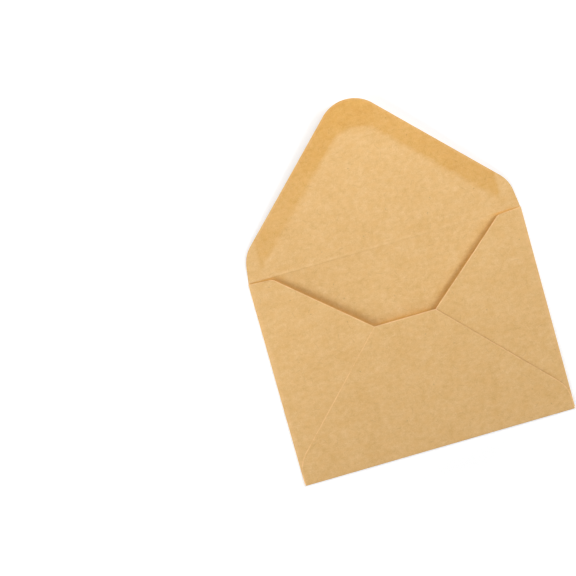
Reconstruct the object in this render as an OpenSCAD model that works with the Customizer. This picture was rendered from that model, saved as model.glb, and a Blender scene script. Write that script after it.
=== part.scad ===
// Kraft paper envelope, empty, with its top flap open.
// One die-cut sheet is folded into a pocket: an address panel, two side flaps that
// turn in behind it, and a bottom flap that turns up over them and is glued down
// along two slanting seams. A strip of dried gum runs round the pointed top flap.
// Millimetres. The envelope lies on its address panel: +Z is up, +Y points to the
// top flap, and the origin is the middle of the address panel on the surface.

/* [Pocket] */
// Width of the pocket between the outsides of its side folds
pocket_w = 146; // [130:1:164]
// Height of the pocket from its bottom fold to the crease of the top flap
pocket_h = 111; // [98:1:126]
// How far the back of the empty pocket bows away from the address panel
pocket_bow = 3; // [0.4:0.2:4]

/* [Paper] */
// Thickness of the paper
paper_t = 0.16; // [0.1:0.02:0.3]
// Clear gap inside a pressed side fold
fold_gap = 0.24; // [0.12:0.04:0.6]
// Clear distance between a fold and the end of the fold round the corner
corner_notch = 0.8; // [0.4:0.1:2]

/* [Top flap] */
// Height of the top flap from its crease to its tip
flap_h = 79.7; // [68:0.1:95]
// Radius of the tip
flap_tip_r = 18.4; // [10:0.1:28]
// Height above the crease at which the sides would meet the long edges
flap_shoulder_h = 14.9; // [11:0.1:20]
// Radius between a side and a long edge
flap_shoulder_r = 18; // [6:0.5:22]
// Angle at which the two sides lean in as they rise from the crease
flap_side_lean = 8; // [2:0.5:12]
// Angle at which the opened flap rises from its crease
flap_lift = 5; // [1:0.5:12]
// Angle through which it curls back down between the crease and the tip
flap_curl = 2; // [0:0.5:6]

/* [Bottom flap] */
// Height of the bottom flap from its fold to its straight top edge
bottom_flap_h = 71.8; // [60:0.2:82]
// Length of its straight top edge
bottom_flap_top_w = 33; // [24:0.5:46]
// Height above the fold at which its sides would meet the slanting seams
bottom_flap_side_h = 12; // [9:0.2:18]
// Radius between a side and a slanting seam
bottom_flap_shoulder_r = 17.6; // [6:0.2:20]
// Radius of the two corners of the top edge
bottom_flap_corner_r = 1.2; // [0.4:0.1:4]

/* [Side flaps] */
// Length of a side flap's short top edge, next to the crease
side_flap_top_w = 12.5; // [8:0.5:18]
// Fall of that edge from the side fold to the slanting edge
side_flap_top_drop = 0.6; // [0.2:0.1:2]
// Radius between the short top edge and the slanting edge
side_flap_shoulder_r = 3; // [1:0.5:6]
// Radius of the tip that is tucked under the bottom flap
side_flap_tip_r = 8; // [3:0.5:12]
// Width of a side flap that the bottom flap covers along the seam
seam_overlap = 13; // [11:0.5:16]

/* [Glue and gum] */
// Thickness of the glue in a seam
glue_t = 0.04; // [0.02:0.01:0.1]
// Width of the glue line in a seam
glue_w = 5; // [3:0.5:7]
// Distance from the edge of the bottom flap to the middle of the glue line
glue_inset = 6; // [4.5:0.5:7]
// Distance from the ends of the seam to the ends of the glue line
glue_end_inset = 9; // [6:0.5:15]
// Thickness of the dried gum on the top flap
gum_t = 0.03; // [0.02:0.01:0.08]
// Width of the gum strip along the long edges
gum_w = 10.5; // [6:0.5:14]
// Bare paper between the gum and the edge of the flap
gum_edge = 0.4; // [0.2:0.1:1.5]
// Radius of the gum's inner edge under the tip
gum_inner_r = 23; // [12:0.5:30]
// Distance from the side of the pocket to the square-cut ends of the gum
gum_end_inset = 9.5; // [6:0.5:16]

/* [Hidden] */

KRAFT = "#E3B982";
DRIED_GUM = "#DCAC60";
SEAM_GLUE = "#EDE3C8";

// Largest turn between two points of a rounded corner
ARC_STEP = 4;
// Facets round a fold and round the ends of a glue line
FOLD_FN = 32;
GLUE_FN = 32;
// Straight stretches that make up the curl of the top flap
CURL_STEPS = 12;
// Cells of the bowed surface along and up the pocket
BOW_COLUMNS = 24;
BOW_ROWS = 14;
// How the bow fills out across the pocket: 2 is a round arch, and 4 rises more steeply
// from the side folds to a flatter middle
BOW_POWER = 4;
// Length by which a cutting shape runs past what it cuts
CUT = 5;

// The bottom fold has to clear a side flap and the glue on it
bottom_fold_gap = fold_gap + paper_t + glue_t;
side_fold_r = fold_gap / 2 + paper_t;
bottom_fold_r = bottom_fold_gap / 2 + paper_t;

// The flat part of the address panel lies between the folds and the crease
panel_x = pocket_w / 2 - side_fold_r;
panel_top = pocket_h / 2;
panel_bottom = -pocket_h / 2 + bottom_fold_r;

// Levels of the undersides of the layers at their folds
side_flap_z = paper_t + fold_gap;
seam_glue_z = side_flap_z + paper_t;
bottom_flap_z = paper_t + bottom_fold_gap;

// The top flap's left shoulder, measured from the middle of the crease. The long edge
// runs from it and touches the circle of the tip, and the two long edges would meet
// at the point.
flap_shoulder = [-panel_x + flap_shoulder_h * tan(flap_side_lean), flap_shoulder_h];
shoulder_to_tip = [0, flap_h - flap_tip_r] - flap_shoulder;
flap_slope = atan2(shoulder_to_tip[1], shoulder_to_tip[0])
    + asin(flap_tip_r / norm(shoulder_to_tip));
flap_point = [0, flap_shoulder[1] - flap_shoulder[0] * tan(flap_slope)];

// Where the left seam begins and ends, its direction, and the way into the flap
seam_foot = [-panel_x, -pocket_h / 2 + bottom_flap_side_h];
seam_head = [-bottom_flap_top_w / 2, -pocket_h / 2 + bottom_flap_h];
seam_dir = unit(seam_head - seam_foot);
seam_in = [seam_dir[1], -seam_dir[0]];

function unit(v) = v / norm(v);

// Point at which the line through p along u meets the line through q along v
function meet(p, u, q, v) = p + u * cross(q - p, v) / cross(u, v);

// A convex outline, listed counterclockwise, with every edge moved inwards by d
function inset(points, d) =
    let (n = len(points))
    [for (i = [0 : n - 1])
        let (
            u = unit(points[i] - points[(i + n - 1) % n]),
            v = unit(points[(i + 1) % n] - points[i])
        )
        meet(points[i] + d * [-u[1], u[0]], u, points[i] + d * [-v[1], v[0]], v)
    ];

// Unit vectors from corner i of an outline to the corners before and after it
function to_last(points, i) = unit(points[(i + len(points) - 1) % len(points)] - points[i]);
function to_next(points, i) = unit(points[(i + 1) % len(points)] - points[i]);

// Points of the arc of radius r that rounds corner i
function corner_arc(points, i, r) =
    let (
        half_angle = acos(to_last(points, i) * to_next(points, i)) / 2,
        inwards = unit(to_last(points, i) + to_next(points, i)),
        centre = points[i] + inwards * r / sin(half_angle),
        middle = atan2(-inwards[1], -inwards[0]),
        steps = ceil((90 - half_angle) / ARC_STEP)
    )
    [for (k = [-steps : steps])
        let (a = middle + (90 - half_angle) * k / steps)
        centre + r * [cos(a), sin(a)]
    ];

// A convex outline, listed counterclockwise, with each corner rounded to its radius
function rounded(points, radii) =
    [for (i = [0 : len(points) - 1])
        each radii[i] > 0 ? corner_arc(points, i, radii[i]) : [points[i]]
    ];

// The top flap's outline with its edges moved inwards by d, from the left end of the
// crease. Heights are distances from the crease along the paper.
function flap_outline(d = 0) =
    let (
        corners = [
            [-panel_x, 0],
            [panel_x, 0],
            [-flap_shoulder[0], flap_shoulder[1]],
            flap_point,
            flap_shoulder
        ]
    )
    rounded(
        inset(corners, d),
        [0, 0, flap_shoulder_r - d, flap_tip_r - d, flap_shoulder_r - d]
    );

// All that lies below the two long edges moved inwards by d, rounded under the tip
function below_long_edges(d, r) =
    let (
        apex = flap_point - [0, d / cos(flap_slope)],
        run = pocket_w * [cos(flap_slope), -sin(flap_slope)]
    )
    rounded([apex + [-run[0], run[1]], apex + run, apex], [0, 0, r]);

// Y and Z of a point of the lifted flap, at distance s from the crease along the paper
// and z off its underside. At the crease itself the flap and the panel meet in a mitre.
function on_flap(s, z) =
    let (
        here = flap_lift - flap_curl * s / flap_h,
        way = flap_lift - flap_curl * s / flap_h / 2
    )
    s == 0
        ? [panel_top - z * tan(flap_lift / 2), z]
        : [panel_top + s * cos(way) - z * sin(here), s * sin(way) + z * cos(here)];

// The same point for a whole line along the flap, from the crease to past the tip
function flap_line(z) =
    [for (k = [0 : CURL_STEPS]) on_flap(k / CURL_STEPS * (flap_h + CUT), z)];

// An outline of the flap as it is seen from above
function seen_from_above(points) = [for (p = points) [p[0], on_flap(p[1], 0)[0]]];

module bottom_flap_outline() {
    corner = [-panel_x, panel_bottom];
    polygon(rounded(
        [
            corner,
            [-corner[0], corner[1]],
            [-seam_foot[0], seam_foot[1]],
            [-seam_head[0], seam_head[1]],
            seam_head,
            seam_foot
        ],
        [
            0,
            0,
            bottom_flap_shoulder_r,
            bottom_flap_corner_r,
            bottom_flap_corner_r,
            bottom_flap_shoulder_r
        ]
    ));
}

// The left side flap. Its slanting edge runs to the corner of the bottom flap and on
// to a tip beneath it, and its lower edge keeps to the seam at the overlap's width.
module side_flap_outline() {
    top_left = [-panel_x, panel_top - corner_notch / 2];
    shoulder = top_left + [side_flap_top_w, -side_flap_top_drop];
    hidden = seam_foot + seam_overlap * seam_in;
    tip = meet(shoulder, seam_head - shoulder, hidden, seam_dir);
    floor_y = panel_bottom + corner_notch;
    heel = meet(hidden, seam_dir, [0, floor_y], [1, 0]);
    polygon(rounded(
        [[-panel_x, floor_y], heel, tip, shoulder, top_left],
        [0, 0, side_flap_tip_r, side_flap_shoulder_r, 0]
    ));
}

// Height of the bow above a point of the pocket: none along the three folds
function bow(x, y) =
    pocket_bow
    * (1 - pow(abs(x / panel_x), BOW_POWER))
    * sin(90 * (y - panel_bottom) / (panel_top - panel_bottom));

// The two triangles of the cell at corner a of a grid whose rows are row points long.
// Those left and right of the pocket's middle are split as mirror images.
function cell(a, row, left) =
    left
        ? [[a, a + 1, a + row + 1], [a, a + row + 1, a + row]]
        : [[a, a + 1, a + row], [a + 1, a + row + 1, a + row]];

// A sheet that follows the bow, with its underside at level z along the folds
module bowed_sheet(z, t) {
    row = BOW_COLUMNS + 1;
    layer = row * (BOW_ROWS + 1);
    edge = concat(
        [for (i = [0 : BOW_COLUMNS - 1]) i],
        [for (j = [0 : BOW_ROWS - 1]) j * row + BOW_COLUMNS],
        [for (i = [BOW_COLUMNS : -1 : 1]) BOW_ROWS * row + i],
        [for (j = [BOW_ROWS : -1 : 1]) j * row]
    );
    polyhedron(
        points = [
            for (level = [z, z + t], j = [0 : BOW_ROWS], i = [0 : BOW_COLUMNS])
                let (
                    x = panel_x * (2 * i / BOW_COLUMNS - 1),
                    y = panel_bottom + (panel_top - panel_bottom) * j / BOW_ROWS
                )
                [x, y, level + bow(x, y)]
        ],
        faces = concat(
            [
                for (j = [0 : BOW_ROWS - 1], i = [0 : BOW_COLUMNS - 1])
                    for (f = cell(j * row + i, row, i < BOW_COLUMNS / 2))
                        each [f, [f[0] + layer, f[2] + layer, f[1] + layer]]
            ],
            [
                for (k = [0 : len(edge) - 1])
                    let (a = edge[k], b = edge[(k + 1) % len(edge)])
                    [a, a + layer, b + layer, b]
            ]
        )
    );
}

// The part of a bowed sheet that lies inside an outline
module bowed(z, t) {
    intersection() {
        upright()
            children();
        bowed_sheet(z, t);
    }
}

// An outline drawn from above, as a block that is taller than the whole envelope
module upright() {
    translate([0, 0, -CUT])
        linear_extrude(2 * CUT + pocket_bow + flap_h * sin(flap_lift))
            children();
}

// A profile drawn in Y and Z, as a block along X that is wider than the envelope
module across() {
    rotate([90, 0, 90])
        linear_extrude(pocket_w + 2 * CUT, center = true)
            children();
}

// Half tube of paper along X, open towards -Y, with the underside of its lower leg
// at level zero and its centre line above the origin
module fold(length, gap) {
    r = gap / 2 + paper_t;
    translate([0, 0, r])
        rotate([90, 0, 90])
            linear_extrude(length, center = true)
                difference() {
                    circle(r = r, $fn = FOLD_FN);
                    circle(r = gap / 2, $fn = FOLD_FN);
                    translate([-2 * r, -2 * r])
                        square([2 * r, 4 * r]);
                }
}

// Address panel and top flap: the profile of the bent sheet, cut to its outline
module panel_and_top_flap() {
    flap = seen_from_above(flap_outline());
    intersection() {
        across()
            polygon(concat(
                [[panel_bottom, paper_t], [panel_bottom, 0]],
                flap_line(0),
                [for (k = [CURL_STEPS : -1 : 0]) flap_line(paper_t)[k]]
            ));
        upright()
            polygon(concat(
                [[-panel_x, panel_bottom], [panel_x, panel_bottom]],
                [for (i = [1 : len(flap)]) flap[i % len(flap)]]
            ));
    }
}

// Left side fold and the side flap behind it
module side_flap() {
    fold_foot = panel_bottom + corner_notch;
    fold_head = panel_top - corner_notch / 2;
    translate([-panel_x, (fold_foot + fold_head) / 2, 0])
        rotate([0, 0, 90])
            fold(fold_head - fold_foot, fold_gap);
    bowed(side_flap_z, paper_t)
        side_flap_outline();
}

module bottom_flap() {
    translate([0, panel_bottom, 0])
        rotate([0, 0, 180])
            fold(2 * panel_x, bottom_fold_gap);
    bowed(bottom_flap_z, paper_t)
        bottom_flap_outline();
}

module folded_paper_sheet() {
    color(KRAFT)
        union() {
            panel_and_top_flap();
            side_flap();
            mirror([1, 0, 0])
                side_flap();
            bottom_flap();
        }
}

// Gum strip: the band between the flap's edge and the gum's own inner edge
module flap_gum_strip() {
    gum_half_w = pocket_w / 2 - gum_end_inset;
    gum_top = flap_line(paper_t + gum_t);
    color(DRIED_GUM)
        intersection() {
            across()
                polygon(concat(
                    flap_line(paper_t),
                    [for (k = [CURL_STEPS : -1 : 0]) gum_top[k]]
                ));
            upright()
                intersection() {
                    difference() {
                        polygon(seen_from_above(flap_outline(gum_edge)));
                        polygon(seen_from_above(below_long_edges(gum_w, gum_inner_r)));
                    }
                    translate([-gum_half_w, panel_top])
                        square([2 * gum_half_w, flap_h]);
                }
        }
}

// Glue line in the left seam, with round ends
module seam_glue() {
    foot = seam_foot + glue_end_inset * seam_dir + glue_inset * seam_in;
    head = seam_head - glue_end_inset * seam_dir + glue_inset * seam_in;
    color(SEAM_GLUE)
        bowed(seam_glue_z, glue_t) {
            translate(foot)
                rotate(atan2(seam_dir[1], seam_dir[0]))
                    translate([0, -glue_w / 2])
                        square([norm(head - foot), glue_w]);
            translate(foot)
                circle(d = glue_w, $fn = GLUE_FN);
            translate(head)
                circle(d = glue_w, $fn = GLUE_FN);
        }
}

module left_seam_glue() {
    seam_glue();
}

module right_seam_glue() {
    mirror([1, 0, 0])
        seam_glue();
}

folded_paper_sheet();
flap_gum_strip();
left_seam_glue();
right_seam_glue();
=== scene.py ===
# %% [markdown]
# # An open kraft paper envelope
# A real envelope is one sheet of paper. A die cuts its outline, a roller wets the edge
# of the top flap with gum, and a machine folds the side flaps and the bottom flap over
# and glues them. This lesson follows that order: a flat sheet is cut, the gum is drawn
# on it, and both are folded. So each patch of paper keeps its own fibres, and the
# layers lie on each other as they do in a real envelope.

import math

import bmesh
import bpy
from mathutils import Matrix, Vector


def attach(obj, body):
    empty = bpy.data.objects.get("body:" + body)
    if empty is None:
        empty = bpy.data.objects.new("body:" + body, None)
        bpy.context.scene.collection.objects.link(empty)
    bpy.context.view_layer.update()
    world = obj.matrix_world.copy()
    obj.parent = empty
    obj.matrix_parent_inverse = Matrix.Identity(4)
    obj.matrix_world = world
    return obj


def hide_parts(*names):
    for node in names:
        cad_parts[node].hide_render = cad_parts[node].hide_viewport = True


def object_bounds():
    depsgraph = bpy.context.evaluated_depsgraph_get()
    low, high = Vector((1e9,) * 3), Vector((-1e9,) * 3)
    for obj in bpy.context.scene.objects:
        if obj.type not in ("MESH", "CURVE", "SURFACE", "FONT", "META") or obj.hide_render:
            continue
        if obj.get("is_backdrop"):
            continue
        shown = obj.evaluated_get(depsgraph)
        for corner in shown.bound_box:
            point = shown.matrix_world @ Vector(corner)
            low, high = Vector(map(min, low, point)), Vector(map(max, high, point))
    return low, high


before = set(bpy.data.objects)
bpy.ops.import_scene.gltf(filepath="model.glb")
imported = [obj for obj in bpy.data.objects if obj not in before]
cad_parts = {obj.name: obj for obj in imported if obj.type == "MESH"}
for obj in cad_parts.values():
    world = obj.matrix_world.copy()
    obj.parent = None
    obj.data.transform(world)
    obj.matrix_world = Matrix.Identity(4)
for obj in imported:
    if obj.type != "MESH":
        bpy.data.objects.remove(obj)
cad_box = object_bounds()
print("solids:", ", ".join(sorted(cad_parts)))

# %% [markdown]
# ## Sizes
# The sheet is drawn in millimetres, because that is how an envelope maker thinks, and
# it becomes metres at the end. The mesh is the middle of the paper's thickness, so a
# fold's radius is measured there too. The sizes are those of the solid model.

# %% Sizes in millimetres
POCKET_W = 146
POCKET_H = 111
POCKET_BOW = 3.0
BOW_POWER = 4
PAPER_T = 0.16

SIDE_FOLD_R = 0.20
BOTTOM_FOLD_R = 0.30
CORNER_NOTCH = 0.8

PANEL_X = POCKET_W / 2 - SIDE_FOLD_R - PAPER_T / 2
PANEL_TOP = POCKET_H / 2
BOTTOM_FOLD_OUT = BOTTOM_FOLD_R + PAPER_T / 2
PANEL_BOTTOM = -POCKET_H / 2 + BOTTOM_FOLD_OUT
PANEL_H = PANEL_TOP - PANEL_BOTTOM

FLAP_H = 79.7
FLAP_TIP_R = 18.4
FLAP_SHOULDER_H = 14.9
FLAP_SHOULDER_R = 18
FLAP_SIDE_LEAN = math.radians(8)
# Degrees by which the open flap rises from its crease, and curls back down to its tip.
FLAP_LIFT = 5
FLAP_CURL = 2

print(f"address panel: {2 * PANEL_X:.2f} x {PANEL_H:.2f} mm between its folds")

# %% [markdown]
# ## Folds take paper
# A fold is half a turn round a tiny cylinder, and it uses up a strip of paper. It could
# be spun or bevelled. Here it is a row of narrow strips, each turned a few degrees
# against the last: that is what paper does, and nothing stretches.

# %% Paper used by each fold
FOLD_STEPS = 16
FOLD_TURN = 180 / FOLD_STEPS


def strip_width(radius):
    """Width of one strip of a fold, a chord of its circle."""
    return 2 * radius * math.sin(math.radians(FOLD_TURN / 2))


SIDE_FOLD = FOLD_STEPS * strip_width(SIDE_FOLD_R)
BOTTOM_FOLD = FOLD_STEPS * strip_width(BOTTOM_FOLD_R)
print(f"a side fold takes {SIDE_FOLD:.2f} mm, the bottom fold {BOTTOM_FOLD:.2f} mm")

# %% [markdown]
# ## Outlines
# Each flap is a list of corners, measured out from its own fold, and each corner has a
# radius, as the bent steel of a cutting die has. The long edges of the top flap touch
# the circle of its tip, so the point where they would meet is worked out first.

# %% Corners of the side flap and the bottom flap
BOTTOM_FLAP_H = 71.8
BOTTOM_FLAP_TOP_W = 33
BOTTOM_FLAP_SIDE_H = 12
BOTTOM_FLAP_SHOULDER_R = 17.6
BOTTOM_FLAP_CORNER_R = 1.2

SIDE_FLAP_TOP_W = 12.5
SIDE_FLAP_TOP_DROP = 0.6
SIDE_FLAP_SHOULDER_R = 3
SIDE_FLAP_TIP_R = 8
SEAM_OVERLAP = 13

seam_foot = Vector((0, BOTTOM_FLAP_SIDE_H - BOTTOM_FOLD_OUT))
seam_head = Vector((PANEL_X - BOTTOM_FLAP_TOP_W / 2, BOTTOM_FLAP_H - BOTTOM_FOLD_OUT))
seam_dir = (seam_head - seam_foot).normalized()
seam_in = Vector((seam_dir.y, -seam_dir.x))


def meet(p, u, q, v):
    """Point where the line through p along u meets the line through q along v."""
    gap = q - p
    return p + u * ((gap.x * v.y - gap.y * v.x) / (u.x * v.y - u.y * v.x))


side_foot = CORNER_NOTCH
side_head = PANEL_H - CORNER_NOTCH / 2
side_shoulder = Vector((SIDE_FLAP_TOP_W, side_head - SIDE_FLAP_TOP_DROP))
tucked_edge = seam_foot + SEAM_OVERLAP * seam_in
tucked_tip = meet(side_shoulder, seam_head - side_shoulder, tucked_edge, seam_dir)
heel = meet(tucked_edge, seam_dir, Vector((0, side_foot)), Vector((1, 0)))

# Each corner's place and radius. Across and up, from the lower end of the side fold.
SIDE_CORNERS = [
    (Vector((0, side_foot)), 0),
    (heel, 0),
    (tucked_tip, SIDE_FLAP_TIP_R),
    (side_shoulder, SIDE_FLAP_SHOULDER_R),
    (Vector((0, side_head)), 0),
]

# Along the bottom fold from its middle, and out from it.
seam_start = Vector((PANEL_X, seam_foot.y))
seam_end = Vector((PANEL_X - seam_head.x, seam_head.y))
BOTTOM_CORNERS = [
    (Vector((-PANEL_X, 0)), 0),
    (Vector((PANEL_X, 0)), 0),
    (seam_start, BOTTOM_FLAP_SHOULDER_R),
    (seam_end, BOTTOM_FLAP_CORNER_R),
    (Vector((-seam_end.x, seam_end.y)), BOTTOM_FLAP_CORNER_R),
    (Vector((-seam_start.x, seam_start.y)), BOTTOM_FLAP_SHOULDER_R),
]
print(f"side flap reaches {tucked_tip.x:.1f} mm, bottom flap {seam_end.y:.1f} mm")

# %% Corners of the top flap
edge_foot = Vector((PANEL_X - FLAP_SHOULDER_H * math.tan(FLAP_SIDE_LEAN), FLAP_SHOULDER_H))
to_tip = Vector((0, FLAP_H - FLAP_TIP_R)) - edge_foot
FLAP_SLOPE = math.atan2(to_tip.y, -to_tip.x) + math.asin(FLAP_TIP_R / to_tip.length)
flap_point = Vector((0, edge_foot.y + edge_foot.x * math.tan(FLAP_SLOPE)))

# Along the crease from its middle, and out from it.
TOP_CORNERS = [
    (Vector((-PANEL_X, 0)), 0),
    (Vector((PANEL_X, 0)), 0),
    (edge_foot, FLAP_SHOULDER_R),
    (flap_point, FLAP_TIP_R),
    (Vector((-edge_foot.x, edge_foot.y)), FLAP_SHOULDER_R),
]
print(f"the top flap's long edges rise at {math.degrees(FLAP_SLOPE):.1f} degrees")

# %% [markdown]
# ## Small tools
# An operator works on all that is selected, and the imported solids still are. So each
# step opens one piece, and then picks faces, edges or points by where they are.

# %% Open, pick and cut
# Places less than NEAR apart count as the same. Points nearer than MERGE are joined.
NEAR = 0.01
MERGE = 0.004


def close():
    """Leave edit mode, if a piece is open."""
    if bpy.context.object and bpy.context.object.mode != "OBJECT":
        bpy.ops.object.mode_set(mode="OBJECT")


def choose(piece):
    """Make one piece the only selected one."""
    close()
    bpy.ops.object.select_all(action="DESELECT")
    piece.select_set(True)
    bpy.context.view_layer.objects.active = piece


def edit(piece):
    """Open one piece in edit mode with all of it selected."""
    choose(piece)
    bpy.ops.object.mode_set(mode="EDIT")
    bpy.ops.mesh.select_mode(type="VERT")
    bpy.ops.mesh.select_all(action="SELECT")


def pick(piece, kind, test):
    """Select the parts of a kind, EDGE or FACE, whose middle passes the test."""
    bpy.ops.mesh.select_mode(type=kind)
    bpy.ops.mesh.select_all(action="DESELECT")
    mesh = bmesh.from_edit_mesh(piece.data)
    for part in mesh.edges if kind == "EDGE" else mesh.faces:
        middle = sum((v.co for v in part.verts), Vector()) / len(part.verts)
        part.select_set(bool(test(middle)))
    mesh.select_flush_mode()
    bmesh.update_edit_mesh(piece.data)


def cut(point, normal, trim=False):
    """Cut what is selected along an upright plane. Trim also throws away what is beyond."""
    bpy.ops.mesh.bisect(
        plane_co=(point[0], point[1], 0),
        plane_no=(normal[0], normal[1], 0),
        clear_outer=trim,
        threshold=1e-5,
    )


def rectangle(name, left, right, bottom, top):
    """A flat sheet of one face, added at its size and place."""
    close()
    bpy.ops.object.select_all(action="DESELECT")
    middle = ((left + right) / 2, (bottom + top) / 2, 0)
    bpy.ops.mesh.primitive_plane_add(size=1, location=middle)
    piece = bpy.context.object
    piece.name = piece.data.name = name
    piece.scale = (right - left, top - bottom, 1)
    bpy.ops.object.transform_apply(location=True, rotation=True, scale=True)
    return piece


def clean_up():
    """Merge doubled points of the open piece, drop slivers, and turn its faces one way."""
    bpy.ops.mesh.select_all(action="SELECT")
    bpy.ops.mesh.remove_doubles(threshold=MERGE)
    bpy.ops.mesh.dissolve_degenerate(threshold=MERGE)
    bpy.ops.mesh.select_all(action="SELECT")
    bpy.ops.mesh.normals_make_consistent(inside=False)
    close()


# %% [markdown]
# ## The flat sheet
# It starts as the address panel. The folds and the flaps are extruded from its edges
# as plain rectangles, a little longer than the flaps.

# %% Panel, fold strips and uncut flaps
sheet = rectangle("folded_kraft_sheet", -PANEL_X, PANEL_X, PANEL_BOTTOM, PANEL_TOP)

edit(sheet)
for y in (PANEL_BOTTOM + side_foot, PANEL_BOTTOM + side_head):
    bpy.ops.mesh.select_all(action="SELECT")
    cut((0, y), (0, 1))


def extrude_from(test, ways):
    """Extrude the edges that pass the test, once for each way in the list."""
    pick(sheet, "EDGE", test)
    for way in ways:
        bpy.ops.mesh.extrude_region_move(TRANSFORM_OT_translate={"value": (*way, 0)})


SPARE = 4
# The edge in the middle of a side lies this near to the sheet's own middle.
MIDDLE = 1
side_reach = tucked_tip.x + SPARE
for side in (-1, 1):
    extrude_from(
        lambda m: abs(m.x - side * PANEL_X) < NEAR and abs(m.y) < MIDDLE,
        [(side * SIDE_FOLD, 0), (side * side_reach, 0)],
    )
extrude_from(
    lambda m: abs(m.y - PANEL_BOTTOM) < NEAR and abs(m.x) < MIDDLE,
    [(0, -BOTTOM_FOLD), (0, -seam_end.y - SPARE)],
)
extrude_from(
    lambda m: abs(m.y - PANEL_TOP) < NEAR and abs(m.x) < MIDDLE, [(0, FLAP_H + SPARE)]
)
close()
print("flat sheet before cutting:", len(sheet.data.polygons), "faces")

# %% [markdown]
# ## Die cutting
# Every flap is convex, so it can be cut out like a gem: straight cuts along its edges,
# and a fan of cuts that touch the circle at each round corner.

# %% Cut the flaps to their outlines
CUT_STEP = math.radians(4)


def die_cuts(corners):
    """Point and outward direction of each cut that the round corners and edges need."""
    found = []
    for i, (corner, radius) in enumerate(corners):
        if not radius:
            continue
        way_in = corner - corners[i - 1][0]
        way_out = corners[(i + 1) % len(corners)][0] - corner
        first = math.atan2(-way_in.x, way_in.y)
        bend = way_in.angle(way_out)
        half = bend / 2
        inwards = -Vector((math.cos(first + half), math.sin(first + half)))
        centre = corner + inwards * radius / math.cos(half)
        steps = math.ceil(bend / CUT_STEP)
        for k in range(steps + 1):
            angle = first + bend * k / steps
            out = Vector((math.cos(angle), math.sin(angle)))
            found.append((centre + out * radius, out))
    return found


# Where each flap's own corners lie on the flat sheet: origin, across and out.
LEFT = (Vector((-PANEL_X - SIDE_FOLD, PANEL_BOTTOM)), Vector((-1, 0)), Vector((0, 1)))
RIGHT = (Vector((PANEL_X + SIDE_FOLD, PANEL_BOTTOM)), Vector((1, 0)), Vector((0, 1)))
BOTTOM = (Vector((0, PANEL_BOTTOM - BOTTOM_FOLD)), Vector((1, 0)), Vector((0, -1)))
TOP = (Vector((0, PANEL_TOP)), Vector((1, 0)), Vector((0, 1)))


def die_cut(piece, corners, place, test, margin=0):
    """Trim the faces that pass the test to an outline, or to a margin inside it."""
    origin, across, out = place
    for point, normal in die_cuts(corners):
        point -= margin * normal
        pick(piece, "FACE", test)
        cut(
            origin + point.x * across + point.y * out,
            normal.x * across + normal.y * out,
            trim=True,
        )


edit(sheet)
die_cut(sheet, SIDE_CORNERS, LEFT, lambda m: m.x < -PANEL_X - SIDE_FOLD)
die_cut(sheet, SIDE_CORNERS, RIGHT, lambda m: m.x > PANEL_X + SIDE_FOLD)
die_cut(sheet, BOTTOM_CORNERS, BOTTOM, lambda m: m.y < PANEL_BOTTOM - BOTTOM_FOLD)
die_cut(sheet, TOP_CORNERS, TOP, lambda m: m.y > PANEL_TOP)
close()
blank_w, blank_h = sheet.dimensions.x, sheet.dimensions.y
print(f"die-cut sheet: {blank_w:.1f} x {blank_h:.1f} mm, {len(sheet.data.polygons)} faces")

# %% [markdown]
# ## A rim and a grid
# The blade presses the paper's edge a little, so an inset makes a narrow rim all round.
# Then the sheet is ruled with lines, close together where it bends: without them a
# face could not bend at all.

# %% Inset the rim and rule the grid
RIM = 0.6
GRID = 2.5

edit(sheet)
bpy.ops.mesh.inset(thickness=RIM, use_boundary=True, use_even_offset=True)


def spaced(start, end, pitch):
    """Even lines from start to end, about a pitch apart, without the two ends."""
    count = max(1, round(abs(end - start) / pitch))
    return [start + (end - start) * i / count for i in range(1, count)]


def rule(piece, xs, ys):
    """Cut a flat piece along upright lines at xs and level lines at ys."""
    edit(piece)
    for x in xs:
        bpy.ops.mesh.select_all(action="SELECT")
        cut((x, 0), (1, 0))
    for y in ys:
        bpy.ops.mesh.select_all(action="SELECT")
        cut((0, y), (0, 1))


right_lines = [
    *spaced(0, PANEL_X, GRID),
    *spaced(PANEL_X, PANEL_X + SIDE_FOLD, strip_width(SIDE_FOLD_R)),
    *spaced(PANEL_X + SIDE_FOLD, PANEL_X + SIDE_FOLD + side_reach, GRID),
]
# Distances from the crease of the extra lines that rule it.
CREASE_ROWS = (0.2, 0.5, 1.0)
flap_rows = spaced(PANEL_TOP, PANEL_TOP + FLAP_H, GRID)
rule(
    sheet,
    xs=[0, *right_lines, *(-x for x in right_lines)],
    ys=[
        *spaced(PANEL_BOTTOM, PANEL_TOP, GRID),
        *spaced(PANEL_BOTTOM, PANEL_BOTTOM - BOTTOM_FOLD, strip_width(BOTTOM_FOLD_R)),
        *spaced(PANEL_BOTTOM - BOTTOM_FOLD, PANEL_BOTTOM - BOTTOM_FOLD - seam_end.y, GRID),
        *(PANEL_TOP + sign * row for sign in (-1, 1) for row in CREASE_ROWS),
        *flap_rows,
    ],
)
clean_up()
print("ruled sheet:", len(sheet.data.polygons), "faces")

# %% [markdown]
# ## Gum on the flat sheet
# The gum follows the two long edges and the tip in one band. Its inner side runs
# straight, turns round a circle below the tip, and runs straight again. So it is a
# straight strip, then a spin of its end, then an extrusion. It is made too wide and
# trimmed with the flap's own cuts, moved in by the bare margin.

# %% Gum band
GUM_W = 10.5
GUM_EDGE = 0.4
GUM_INNER_R = 23
GUM_END_INSET = 9.5
GUM_END_X = POCKET_W / 2 - GUM_END_INSET
GUM_T = 0.03

inner_point = flap_point.y - GUM_W / math.cos(FLAP_SLOPE)
spin_centre = Vector((0, PANEL_TOP + inner_point - GUM_INNER_R / math.cos(FLAP_SLOPE)))
run_left = Vector((-math.cos(FLAP_SLOPE), -math.sin(FLAP_SLOPE)))
off_left = Vector((-math.sin(FLAP_SLOPE), math.cos(FLAP_SLOPE)))
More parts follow.
